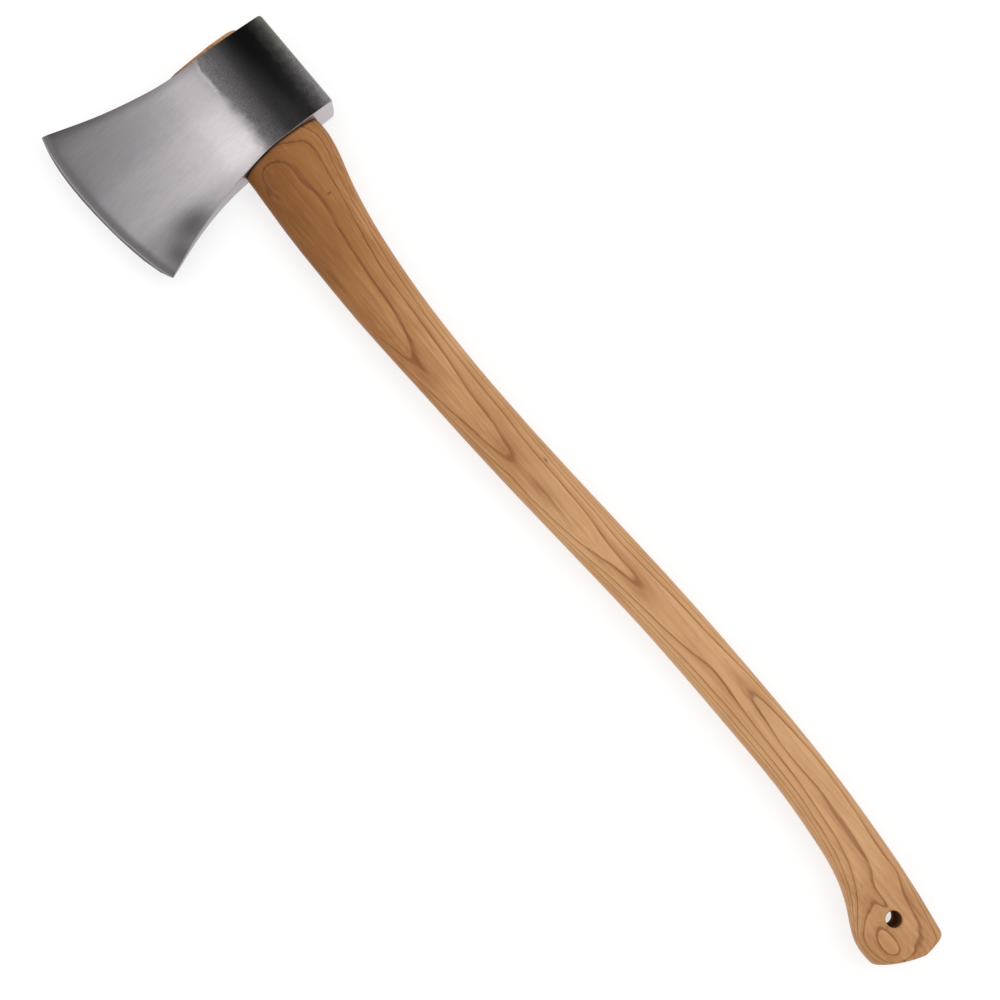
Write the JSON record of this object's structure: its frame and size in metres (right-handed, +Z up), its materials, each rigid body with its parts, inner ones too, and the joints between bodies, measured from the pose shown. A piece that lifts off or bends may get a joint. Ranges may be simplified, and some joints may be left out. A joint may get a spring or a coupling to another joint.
{
  "type": "felling axe",
  "caption": "Full-size felling axe with a broad forged head wedged on a curved wooden haft that ends in a drilled swell.",
  "frame": {"origin": "on the surface that the axe lies on, under the middle of its outline", "axes": "+X along the haft from the head to the swell, -Y the side of the cutting edge, +Z up through the cheek and along the lanyard hole"},
  "size_m": [0.8324, 0.185, 0.0292],
  "materials": {
    "forged_steel": "dark forge scale round the eye and poll, satin ground blade with a polished edge",
    "haft_wood": "flat-sawn hickory or ash under a satin clear coat",
    "wedge_wood": "hardwood wedge, sawn flush with the haft's top",
    "ring_steel": "plain steel"
  },
  "bodies": {
    "root": {"axe_head": "forged_steel", "haft": "haft_wood", "eye_wedge": "wedge_wood", "ring_wedge": "ring_steel"}
  },
  "joints": []
}
